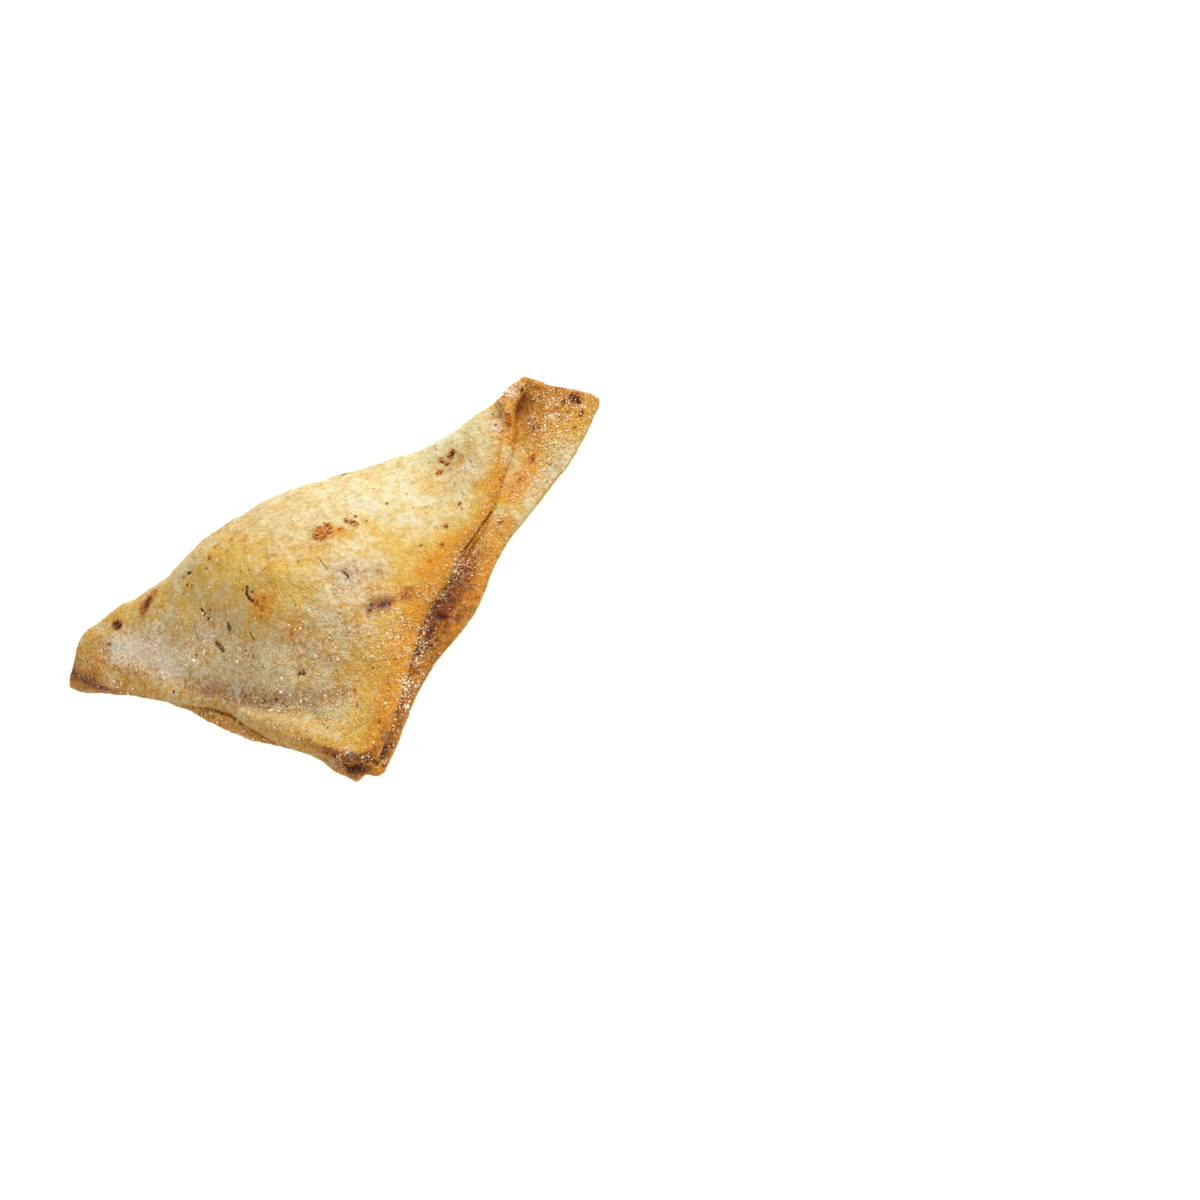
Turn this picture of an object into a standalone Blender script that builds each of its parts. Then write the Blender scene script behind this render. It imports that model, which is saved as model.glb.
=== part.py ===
"""A baked triangular turnover: one sheet of dough folded over a filling and pressed shut along two cut edges.

The fold is the long side, from the left tip to the right tip, and the two cut edges meet at a square corner
in front. The lower layer of dough reaches past the upper one nearly everywhere, so a lip of it shows. At the
right tip the fold stays an open loop, and at the left tip it is pressed down to a slit.

The solid is a loft of closed cross-sections, called ribs. Each rib runs from a cut edge to the fold, and is
worked out from the plan and the heights below. Lengths are in metres, +Z is up, and the fold runs along X.
"""

from math import pi, sqrt

import bmesh
import bpy
import numpy as np

MM = 0.001

# The sheet's plan, measured from the square corner: "right" and "left" are the two cut edges
LEG = 94 * MM  # square corner to either tip, along the lower layer's cut edge
RIGHT_END = 20 * MM  # width of the blunt end at the right tip
LEFT_END = 12 * MM  # width of the blunt end at the left tip
CORNER_ROUND = 4 * MM  # reach of the rounding at the square corner
CORNER_CUT = 1.2 * MM  # how much that rounding takes off each edge at the corner itself

# The next tables give millimetres at stations along the cut edges: -1 is the left tip, 0 the corner and
# 1 the right tip. How far the hand-cut edge of the lower layer lies inside its straight leg:
EDGE_INSET = {
    -1.00: 0.0, -0.85: 1.9, -0.66: 2.3, -0.55: 0.2, -0.42: -0.7, -0.25: 0.1, -0.13: -2.0, -0.06: 0.3,
    0.00: 0.0, 0.06: 1.6, 0.26: 3.2, 0.42: 0.1, 0.57: 2.8, 0.72: 0.0, 0.85: -1.5, 1.00: 0.0,
}
# How far the lower layer reaches past the upper one:
LIP = {
    -1.00: 3.0, -0.90: 0.6, -0.80: -0.8, -0.62: -0.5, -0.50: 1.8, -0.35: 2.2, -0.12: 1.6,
    0.00: 1.0, 0.12: 0.6, 0.25: 0.5, 0.31: 5.2, 0.38: 7.5, 0.45: 7.5, 0.53: 3.3, 0.60: 2.3,
    0.67: 4.2, 0.78: 10.6, 0.84: 14.7, 0.89: 16.4, 1.00: 15.7,
}
# How far the fold bows out past the straight line between the tips:
FOLD_BOW = {
    -1.00: 0.6, -0.88: 1.6, -0.60: 0.3, -0.30: 0.0, 0.00: -0.4, 0.35: -2.4, 0.60: -5.0, 0.80: -5.0,
    0.92: -2.6, 1.00: -0.6,
}
# How high the fold's loop is:
LOOP = {-1.00: 7.4, -0.85: 8.2, -0.60: 8.8, -0.20: 11.0, 0.20: 10.0, 0.60: 7.0, 0.88: 7.6, 1.00: 5.2}
LOOP_REACH = 26 * MM  # distance from the fold where the loop has closed
LOOP_CLOSING = 11 * MM  # distance from the upper layer's edge over which it closes

# The dough
DOUGH = 2.4 * MM  # thickness of one layer
FOLD_WALL = 2.8 * MM  # thickness left between a loop's hollow and the outside of the fold
EDGE_ROUND = 1.1 * MM  # how much thinner a layer is at its rounded cut edge
EDGE_ROUND_REACH = 2.2 * MM
SEAM_MOUTH = 0.5 * MM  # gap between the layers where they show at the cut edges
SEAM_DEPTH = 2.6 * MM  # how far that gap reaches in
POCKET_START = 0.80  # station where the right loop's hollow starts
SLIT_START = -0.86  # station where the left tip's seam starts to deepen
DEEPENING = 0.1  # stations over which either one reaches its full depth
RIM_LIFT = 2.4 * MM  # height of the pressed rim's underside over the table
RIM_LIFT_REACH = 18 * MM  # distance from a cut edge where the underside comes down to the table
CORNER_DROP = 0.6  # share of that lift which the square corner loses
CORNER_REACH = 26 * MM
RIGHT_TIP_LIFT = 1.2 * MM
LEFT_TIP_LIFT = 0.4 * MM
TIP_LIFT_START = 0.6  # share of a leg where the lift of its tip starts

# The filling's bulge
BULGE = 18.0 * MM  # height of the bulge over the closed layers
RIGHT_RIM = 9 * MM  # cut edge to the foot of the bulge
LEFT_RIM = 4.5 * MM
RIGHT_RISE = 34 * MM  # length over which the bulge rises from that foot
LEFT_RISE = 26 * MM
FOLD_RISE = 15 * MM  # the same from the fold, where the side is steep
RIGHT_TAIL = 24 * MM  # flat tail at each tip, before the bulge starts
LEFT_TAIL = 6 * MM
RIGHT_TAIL_RISE = 42 * MM
LEFT_TAIL_RISE = 50 * MM

# Counts: ribs along each cut edge, and points along each stretch of a rib
RIGHT_RIBS = 44
LEFT_RIBS = 38
RIB_CROWDING = 0.4  # how much closer the ribs stand at the tips and the corner than on average
UNDER_POINTS = 14
TOP_POINTS = 26
GAP_POINTS = 5
LIP_POINTS = 4

RIGHT_WAY = np.array((1.0, 0.0))  # plan axes along the two cut edges, from the square corner
LEFT_WAY = np.array((0.0, 1.0))
OUTWARD = np.array((1.0, 1.0)) / sqrt(2)  # from the corner towards the fold


def smooth(x):
    """0 to 1 with a level start and end."""
    x = np.clip(x, 0.0, 1.0)
    return x * x * (3.0 - 2.0 * x)


def round_rise(x):
    """0 to 1 as a quarter circle rises: upright at the start, level at the end."""
    return np.sqrt(1.0 - (1.0 - np.clip(x, 0.0, 1.0)) ** 2)


def swell(x):
    """0 to 1 as a filled side rises: a short foot, soon steep, and level at the end."""
    x = np.clip(x, 0.0, 1.0)
    return (smooth(x) + 2.0 * np.sin(pi / 2 * x)) / 3.0


def rounded_edge(inside):
    """How far a layer's face falls back at that distance inside its cut edge."""
    return EDGE_ROUND * (1.0 - round_rise(inside / EDGE_ROUND_REACH))


def at(t, table):
    """A table's value in metres at station t, on a smooth curve through its entries."""
    places = np.array(list(table))
    values = np.array(list(table.values())) * MM
    slopes = np.gradient(values, places)
    i = np.clip(np.searchsorted(places, t) - 1, 0, len(places) - 2)
    width = places[i + 1] - places[i]
    u = np.clip((t - places[i]) / width, 0.0, 1.0)
    rise = values[i + 1] - values[i]
    bend = (1.0 - u) * (slopes[i] * width - rise) - u * (slopes[i + 1] * width - rise)
    return values[i] + u * rise + u * (1.0 - u) * bend


def edge_point(t):
    """Plan point on the lower layer's cut edge at station t."""
    along = LEG * abs(t)
    cut = CORNER_CUT * max(0.0, 1.0 - along / CORNER_ROUND) ** 2
    way, side = (RIGHT_WAY, LEFT_WAY) if t >= 0 else (LEFT_WAY, RIGHT_WAY)
    return way * (along + cut) + side * (cut + at(t, EDGE_INSET))


def fold_point(t):
    """Plan point on the fold that belongs to station t."""
    right = LEG * RIGHT_WAY + RIGHT_END * LEFT_WAY
    left = LEG * LEFT_WAY + LEFT_END * RIGHT_WAY
    middle = (right + left) / 2
    end = right if t >= 0 else left
    return middle + abs(t) * (end - middle) + OUTWARD * at(t, FOLD_BOW)


def bulge(a, b, from_fold):
    """Height of the filling's bulge at plan point (a, b), which is that far inside the fold."""
    right = swell((b - RIGHT_RIM) / RIGHT_RISE)
    left = swell((a - LEFT_RIM) / LEFT_RISE)
    right_tail = smooth((LEG - RIGHT_TAIL - a) / RIGHT_TAIL_RISE)
    left_tail = swell((LEG - LEFT_TAIL - b) / LEFT_TAIL_RISE)
    return BULGE * right * left * right_tail * left_tail * round_rise(from_fold / FOLD_RISE)


def underside(a, b):
    """Height of the pastry's underside over the table, before the fold's rounding."""
    rim = 1.0 - smooth(a / RIM_LIFT_REACH) * smooth(b / RIM_LIFT_REACH)
    right = smooth((a / LEG - TIP_LIFT_START) / (1.0 - TIP_LIFT_START))
    left = smooth((b / LEG - TIP_LIFT_START) / (1.0 - TIP_LIFT_START))
    corner = (1.0 - smooth(a / CORNER_REACH)) * (1.0 - smooth(b / CORNER_REACH))
    lift = RIM_LIFT * rim * (1.0 - right - left) * (1.0 - CORNER_DROP * corner)
    return lift + RIGHT_TIP_LIFT * right + LEFT_TIP_LIFT * left


class Rib:
    """One closed cross-section, at station t along the cut edges."""

    def __init__(self, t):
        self.fold = fold_point(t)
        edge = edge_point(t)
        self.length = np.linalg.norm(edge - self.fold)
        self.way = (edge - self.fold) / self.length
        self.top_end = self.length - at(t, LIP)
        self.loop = at(t, LOOP)
        self.pocket = smooth((t - POCKET_START) / DEEPENING)
        self.slit = smooth((SLIT_START - t) / DEEPENING)

    def plan(self, q):
        """Plan coordinates a and b at distance q from the fold."""
        points = self.fold + np.outer(q, self.way)
        return points[:, 0], points[:, 1]

    def from_fold(self, q):
        """Distance inside the fold line, square to it."""
        return -q * (self.way @ OUTWARD)

    def low(self, q):
        """Height of the underside at distance q."""
        flat = underside(*self.plan(q))
        return flat + self.loop / 2 * (1.0 - round_rise(self.from_fold(q) / (self.loop / 2)))

    def high(self, q):
        """Height of the top surface at distance q."""
        a, b = self.plan(q)
        inside = self.from_fold(q)
        shut = 2 * DOUGH + SEAM_MOUTH
        closing = smooth((self.top_end - q) / LOOP_CLOSING) * (1.0 - smooth(inside / LOOP_REACH))
        stack = shut + (self.loop - shut) * np.maximum(closing, self.pocket)
        rounded = self.loop / 2 + (stack - self.loop / 2) * round_rise(inside / (self.loop / 2))
        return underside(a, b) + rounded + bulge(a, b, inside) - rounded_edge(self.top_end - q)

    def gap(self, v):
        """Distances and heights of the gap's floor and ceiling, from its mouth (v = 0) to its end (v = 1)."""
        mouth_end = min(self.top_end, self.length)
        deep = mouth_end - FOLD_WALL
        depth = SEAM_DEPTH + (deep - SEAM_DEPTH) * max(self.pocket, self.slit)
        inner_end = mouth_end - min(depth, deep)
        floor_q = mouth_end + (inner_end - mouth_end) * v
        ceiling_q = self.top_end + (inner_end - self.top_end) * v
        ceiling = self.high(ceiling_q) + rounded_edge(self.top_end - ceiling_q) - DOUGH
        floor = self.low(floor_q) + DOUGH
        room = np.maximum((ceiling - floor) / 2, 0.1 * SEAM_MOUTH)
        mouth = SEAM_MOUTH / 2
        half = np.minimum(mouth + (room - mouth) * self.pocket, room) * np.sqrt(1.0 - v**2)
        middle = (ceiling + floor) / 2
        return (floor_q, middle - half), (ceiling_q, middle + half)

    def outline(self):
        """The rib's closed outline as plan points and heights, from the lip's lower corner, fold first."""
        turn = np.linspace(0.0, pi / 2, UNDER_POINTS + 1)
        under_q = self.length * (1.0 - np.cos(turn))[::-1]
        turn = np.linspace(0.0, pi, TOP_POINTS + 1)[1:]
        top_q = self.top_end * (1.0 - np.cos(turn)) / 2
        (floor_q, floor), (ceiling_q, ceiling) = self.gap(np.linspace(0.0, 1.0, GAP_POINTS))
        turn = np.linspace(0.0, pi / 2, LIP_POINTS + 1)[1:]
        lip_q = floor_q[0] + (self.length - floor_q[0]) * np.sin(turn)
        lip = self.low(lip_q) + DOUGH - rounded_edge(self.length - lip_q)
        q = np.concatenate((under_q, top_q, ceiling_q, floor_q[-2::-1], lip_q))
        a, b = self.plan(q)
        z = np.concatenate((self.low(under_q), self.high(top_q), ceiling, floor[-2::-1], lip))
        return np.column_stack((a, b, z))


def stations():
    """Stations of the ribs, closer together near the tips and the corner."""
    even = np.concatenate((np.linspace(-1.0, 0.0, LEFT_RIBS + 1)[:-1], np.linspace(0.0, 1.0, RIGHT_RIBS + 1)))
    return even - RIB_CROWDING * np.sin(2.0 * pi * even) / (2.0 * pi)


def in_world(points):
    """Turns the plan so that the fold runs along X, and centres the pastry over the origin, on the table."""
    a, b, z = points[..., 0], points[..., 1], points[..., 2]
    turned = np.stack(((a - b) / sqrt(2), (a + b) / sqrt(2), z), axis=-1)
    flat = turned.reshape(-1, 3)
    low, high = flat.min(axis=0), flat.max(axis=0)
    return turned - np.array(((low[0] + high[0]) / 2, (low[1] + high[1]) / 2, low[2]))


def loft(rings):
    """A closed mesh through rings of equal point counts, with its two ends filled."""
    shape = bmesh.new()
    rows = [[shape.verts.new(point) for point in ring] for ring in rings]
    count = len(rows[0])
    for one, two in zip(rows, rows[1:]):
        for i in range(count):
            j = (i + 1) % count
            shape.faces.new((one[i], two[i], two[j], one[j]))
    shape.faces.new(rows[0])
    shape.faces.new(rows[-1][::-1])
    bmesh.ops.recalc_face_normals(shape, faces=shape.faces)
    return shape


def dough_material():
    """Pale golden baked dough."""
    material = bpy.data.materials.new("baked_dough")
    material.use_nodes = True
    surface = material.node_tree.nodes["Principled BSDF"]
    surface.inputs["Base Color"].default_value = (0.62, 0.42, 0.19, 1.0)
    surface.inputs["Roughness"].default_value = 0.62
    surface.inputs["Metallic"].default_value = 0.0
    return material


def make_pastry():
    """The whole pastry as one object."""
    rings = in_world(np.array([Rib(t).outline() for t in stations()]))
    shape = loft(rings)
    mesh = bpy.data.meshes.new("turnover")
    shape.to_mesh(mesh)
    shape.free()
    mesh.materials.append(dough_material())
    mesh.shade_smooth()
    mesh.set_sharp_from_angle(angle=0.9)
    pastry = bpy.data.objects.new("turnover", mesh)
    bpy.context.scene.collection.objects.link(pastry)
    return pastry


def clear_scene():
    for obj in list(bpy.data.objects):
        bpy.data.objects.remove(obj, do_unlink=True)


clear_scene()
make_pastry()
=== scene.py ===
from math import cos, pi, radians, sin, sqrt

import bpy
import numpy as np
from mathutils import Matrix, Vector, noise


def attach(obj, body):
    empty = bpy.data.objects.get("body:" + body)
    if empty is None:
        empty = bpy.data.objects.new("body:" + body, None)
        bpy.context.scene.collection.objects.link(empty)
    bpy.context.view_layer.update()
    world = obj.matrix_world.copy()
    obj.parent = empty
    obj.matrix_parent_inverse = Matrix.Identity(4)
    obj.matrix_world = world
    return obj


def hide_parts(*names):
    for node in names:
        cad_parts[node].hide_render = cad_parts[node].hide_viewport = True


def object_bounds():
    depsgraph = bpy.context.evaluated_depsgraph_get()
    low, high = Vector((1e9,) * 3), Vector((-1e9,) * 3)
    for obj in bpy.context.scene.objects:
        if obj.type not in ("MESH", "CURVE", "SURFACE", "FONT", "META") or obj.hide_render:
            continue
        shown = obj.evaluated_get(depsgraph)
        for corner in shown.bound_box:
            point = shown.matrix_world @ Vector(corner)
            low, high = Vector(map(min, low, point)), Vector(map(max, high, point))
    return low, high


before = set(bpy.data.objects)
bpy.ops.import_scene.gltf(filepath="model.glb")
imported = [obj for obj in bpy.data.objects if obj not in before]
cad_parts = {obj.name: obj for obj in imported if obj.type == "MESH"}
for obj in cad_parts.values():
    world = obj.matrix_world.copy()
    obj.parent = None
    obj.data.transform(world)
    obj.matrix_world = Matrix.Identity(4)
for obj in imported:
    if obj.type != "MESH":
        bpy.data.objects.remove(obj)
cad_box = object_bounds()

# The look of a baked triangular turnover: one sheet of dough folded over a filling and pressed shut.
#
# The form is worked out again from the same named sizes as the solid, with far more points, and gets the
# lumps, ragged edges, pits and blisters of a real crust. Masks at its points say where it is toasted, dusty,
# greyed or scorched, and where shade is painted into the colour, and the material turns them into colour.
# Its fine speckle holds painted glints and painted shade. The form is built in metres. The tables, the
# distances that the class Form keeps, the masks and the materials are in millimetres.

MM = 0.001

# ---- The form's driving sizes ----

LEG = 94 * MM  # square corner to either tip, along the lower layer's cut edge
RIGHT_END = 20 * MM  # width of the blunt end at the right tip
LEFT_END = 12 * MM  # width of the blunt end at the left tip
CORNER_ROUND = 4 * MM  # reach of the rounding at the square corner
CORNER_CUT = 1.2 * MM  # how much that rounding takes off each edge at the corner itself

# The next tables give millimetres at stations along the cut edges: -1 is the left tip, 0 the corner and
# 1 the right tip. How far the hand-cut edge of the lower layer lies inside its straight leg:
EDGE_INSET = {
    -1: -1, -0.93: 0.6, -0.85: 1.5, -0.66: 2, -0.55: 0.5, -0.42: -0.9, -0.3: -0.5, -0.2: -0.8,
    -0.165: -1.6, -0.13: -2.3, -0.09: -2.7, -0.075: -3, -0.068: -2.8, -0.06: -1, -0.052: -0.7,
    -0.036: -0.6, -0.02: -0.5, 0: 0.2, 0.012: 0.9, 0.03: 1.4, 0.06: 1.7, 0.26: 3.2, 0.42: 0.1, 0.57: 2.2,
    0.72: 0, 0.85: -1.5, 1: 0,
}
# How far the lower layer reaches past the upper one:
LIP = {
    -1: 3.6, -0.97: 2.4, -0.95: 1.4, -0.93: 1, -0.86: 0.2, -0.76: -0.6, -0.7: -0.6, -0.62: 0.3,
    -0.56: 2.2, -0.5: 3.6, -0.43: 3.9, -0.37: 1.8, -0.31: -0.2, -0.25: -0.9, -0.2: -0.3, -0.165: 1.4,
    -0.13: 2.3, -0.09: 2.6, -0.068: 2.6, -0.058: 1.2, -0.036: 1.6, -0.02: 1.5, 0: 1.4, 0.08: 1.8,
    0.15: 1.9, 0.2: 2.6, 0.24: 5.2, 0.28: 8.4, 0.32: 10.4, 0.37: 11.2, 0.42: 11.8, 0.46: 11.2, 0.51: 8.6,
    0.56: 6.4, 0.6: 6.7, 0.64: 8.2, 0.7: 11.4, 0.75: 13.2, 0.8: 15.4, 0.85: 17, 0.92: 17.7, 1: 17.1,
}
# How far the fold bows out past the straight line between the tips:
FOLD_BOW = {
    -1: 0, -0.88: 1.5, -0.6: -0.6, -0.45: -1, -0.3: -0.6, -0.1: 0.6, 0.1: 0.5, 0.35: -2.2, 0.6: -4.5,
    0.75: -4.8, 0.84: -4.3, 0.91: -2.8, 0.96: -1.2, 1: -0.3,
}
# How high the fold's loop is:
LOOP = {
    -1: 7.4, -0.85: 8.2, -0.6: 8.8, -0.2: 11, 0.2: 10, 0.6: 7, 0.88: 7.6, 1: 5.2,
}
LOOP_REACH = 26 * MM  # distance from the fold where the loop has closed
LOOP_CLOSING = 11 * MM  # distance from the upper layer's edge over which it closes

DOUGH = 2.4 * MM  # thickness of one layer
FOLD_WALL = 2.8 * MM  # thickness left between a loop's hollow and the outside of the fold
POCKET_START = 0.80  # station where the right loop's hollow starts
DEEPENING = 0.1  # stations over which it reaches its full depth
POCKET_WALL = 2.6 * MM  # dough that shuts it at the tip's end
RIM_LIFT = 2.4 * MM  # height of the pressed rim's underside over the table
RIM_LIFT_REACH = 18 * MM  # distance from a cut edge where the underside comes down to the table
CORNER_DROP = 0.6  # share of that lift which the square corner loses
CORNER_REACH = 26 * MM
RIGHT_TIP_LIFT = 1.2 * MM
LEFT_TIP_LIFT = 0.4 * MM
TIP_LIFT_START = 0.6  # share of a leg where the lift of its tip starts
SHUT = 5.3 * MM  # thickness of both layers where they are pressed together

BULGE = 18.0 * MM  # height of the bulge over the closed layers
RIGHT_RIM = 9 * MM  # cut edge to the foot of the bulge
LEFT_RIM = 4.5 * MM
RIGHT_RISE = 34 * MM  # length over which the bulge rises from that foot
LEFT_RISE = 26 * MM
FOLD_RISE = 15 * MM  # the same from the fold, where the side is steep
RIGHT_TAIL = 24 * MM  # flat tail at each tip, before the bulge starts
LEFT_TAIL = 6 * MM
RIGHT_TAIL_RISE = 42 * MM
LEFT_TAIL_RISE = 50 * MM

# How open the seam's mouth is, and how far its gap reaches in:
SEAM_MOUTH = {
    -1: 0.02, -0.6: 0.03, -0.5: 0.08, -0.35: 0.06, -0.2: 0.04, -0.12: 0.2, 0: 0.05, 0.12: 0.02,
    0.76: 0.02, 0.82: 0.2, 0.9: 0.3, 0.95: 0.1, 0.98: 0.02, 1: 0.02,
}
SEAM_DEPTH = {
    -1: 0.2, -0.6: 0.3, -0.5: 0.5, -0.35: 0.5, -0.2: 0.4, -0.12: 1, 0: 0.3, 0.12: 0.1, 0.76: 0.1,
    0.84: 0.5, 0.93: 0.6, 0.98: 0.1, 1: 0.1,
}
SEAM_LEAST = 0.02 * MM
# How far the lower layer swells up against the upper one's edge, and how wide that swelling is:
SEAM_FILL = {
    -1: 0.3, -0.8: 0.2, -0.5: 0, 0: 0, 0.1: 0.6, 0.5: 0.6, 0.74: 0.5, 0.8: 0, 0.92: 0.1, 0.95: 1.2,
    0.97: 2.4, 1: 2.6,
}
SEAM_FILL_REACH = 2.6 * MM
# How wide a layer's slanting cut face is, and how far the surface falls over it:
FACE = {
    -1: 4, -0.66: 4.5, -0.54: 3, -0.45: 2.8, -0.3: 2.5, -0.1: 2, 0: 2, 0.1: 2.3, 0.3: 2.6, 0.44: 2.6,
    0.52: 1.8, 0.6: 1.3, 0.66: 1.1, 0.72: 1.4, 0.78: 1.6, 0.88: 2.1, 0.94: 1.8, 1: 1,
}
FACE_FALL = {
    -1: 2.6, -0.66: 2.4, -0.5: 2.35, -0.3: 2.3, -0.1: 1.7, 0: 1.8, 0.1: 2.3, 0.46: 2.3, 0.56: 2.5,
    0.76: 2.5, 0.84: 1.4, 0.93: 1.3, 0.97: 0.6, 1: 0.3,
}
LIP_EDGE = 2.6 * MM  # the same for the lower layer's cut edge
LIP_EDGE_FALL = 1.5 * MM
RAGGED = 0.3 * MM  # unevenness of the cut edges
LEFT_END_ROUND = 3.4 * MM  # length over which the left tip's end rounds off, and the height of its nose
LEFT_NOSE = 2.7 * MM
RIGHT_END_ROUND = 2.0 * MM
RIGHT_NOSE = 1.5 * MM
END_LEAST = 0.12  # share of its thickness that a tip keeps at its very end
LEFT_END_BEND = 2.1 * MM  # how far the left end reaches out where it reaches furthest
LEFT_END_PEAK = 0.6  # share of the way from the fold to the cut edge where that is
RIGHT_END_BEND = 0.5 * MM  # the same for the right end
RIGHT_END_PEAK = 0.25
END_BEND_REACH = 8 * MM
CORNER_Y = -40.85 * MM  # where the square corner lies in the solid's frame

# Counts of the fine mesh
RIBS = 560
UNDER_POINTS = 34
TOP_POINTS = 190
GAP_POINTS = 10
LIP_POINTS = 40
END_RIBS = 12

RIGHT_WAY = np.array((1.0, 0.0))  # plan axes along the two cut edges, from the square corner
LEFT_WAY = np.array((0.0, 1.0))
OUTWARD = np.array((1.0, 1.0)) / sqrt(2)  # from the corner towards the fold


# ---- The form ----


def smooth(x):
    """0 to 1 with a level start and end."""
    x = np.clip(x, 0.0, 1.0)
    return x * x * (3.0 - 2.0 * x)


def round_rise(x):
    """0 to 1 as a quarter circle rises: upright at the start, level at the end."""
    return np.sqrt(1.0 - (1.0 - np.clip(x, 0.0, 1.0)) ** 2)


def rise(x, start, over):
    """0 up to the start, and 1 once x is that far past it."""
    return smooth((x - start) / over)


def faded(distance, radius):
    """1 at no distance, 0.5 at the radius, and fading beyond."""
    return 0.5 ** ((distance / radius) ** 2)


def swell(x):
    """0 to 1 as a filled side rises: a short foot, soon steep, and level at the end."""
    x = np.clip(x, 0.0, 1.0)
    return (smooth(x) + 2.0 * np.sin(pi / 2 * x)) / 3.0


def hump(x, middle, width):
    """A soft hump from 0 to 1 and back."""
    return np.exp(-(((x - middle) / width) ** 2))


def bowed(share, peak):
    """1 where share is peak, and down to 0 where it is 0 or 1."""
    return 1.0 - ((share - peak) / np.where(share > peak, 1.0 - peak, peak)) ** 2


def edge_fall(inside, width, fall):
    """How far a layer's surface has fallen at that distance inside its cut edge."""
    x = np.clip(inside / width, 0.0, 1.0)
    return fall * (1.0 - 0.5 * (x + round_rise(x)))


def at(t, table):
    """A table's value in metres at station t, on a smooth curve through its entries."""
    places = np.array(list(table))
    values = np.array(list(table.values())) * MM
    slopes = np.gradient(values, places)
    i = np.clip(np.searchsorted(places, t) - 1, 0, len(places) - 2)
    width = places[i + 1] - places[i]
    u = np.clip((t - places[i]) / width, 0.0, 1.0)
    climb = values[i + 1] - values[i]
    bend = (1.0 - u) * (slopes[i] * width - climb) - u * (slopes[i + 1] * width - climb)
    return values[i] + u * climb + u * (1.0 - u) * bend


def ragged(t, row):
    """A cut edge's unevenness at station t. Each row is another edge."""
    along = LEG * t
    coarse = noise.noise(Vector((along / (5 * MM), row, 0.0)))
    fine = noise.noise(Vector((along / (1.6 * MM), row, 7.0)))
    return RAGGED * (coarse + 0.55 * fine)


def edge_point(t):
    """Plan point on the lower layer's cut edge at station t."""
    along = LEG * abs(t)
    cut = CORNER_CUT * max(0.0, 1.0 - along / CORNER_ROUND) ** 2
    way, side = (RIGHT_WAY, LEFT_WAY) if t >= 0 else (LEFT_WAY, RIGHT_WAY)
    return way * (along + cut) + side * (cut + at(t, EDGE_INSET) + ragged(t, 0.0) * min(1.0, 8.0 * abs(t)))


def fold_point(t):
    """Plan point on the fold that belongs to station t."""
    right = LEG * RIGHT_WAY + RIGHT_END * LEFT_WAY
    left = LEG * LEFT_WAY + LEFT_END * RIGHT_WAY
    middle = (right + left) / 2
    end = right if t >= 0 else left
    return middle + abs(t) * (end - middle) + OUTWARD * at(t, FOLD_BOW)


def bulge(a, b, from_fold):
    """Height of the filling's bulge at plan point (a, b), which is that far inside the fold."""
    right = swell((b - RIGHT_RIM) / RIGHT_RISE)
    left = swell((a - LEFT_RIM) / LEFT_RISE)
    right_tail = smooth((LEG - RIGHT_TAIL - a) / RIGHT_TAIL_RISE)
    left_tail = swell((LEG - LEFT_TAIL - b) / LEFT_TAIL_RISE)
    return BULGE * right * left * right_tail * left_tail * round_rise(from_fold / FOLD_RISE)


def underside(a, b):
    """Height of the pastry's underside over the table, before the fold's rounding."""
    rim = 1.0 - smooth(a / RIM_LIFT_REACH) * smooth(b / RIM_LIFT_REACH)
    right = smooth((a / LEG - TIP_LIFT_START) / (1.0 - TIP_LIFT_START))
    left = smooth((b / LEG - TIP_LIFT_START) / (1.0 - TIP_LIFT_START))
    corner = (1.0 - smooth(a / CORNER_REACH)) * (1.0 - smooth(b / CORNER_REACH))
    lift = RIM_LIFT * rim * (1.0 - right - left) * (1.0 - CORNER_DROP * corner)
    return lift + RIGHT_TIP_LIFT * right + LEFT_TIP_LIFT * left


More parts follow.
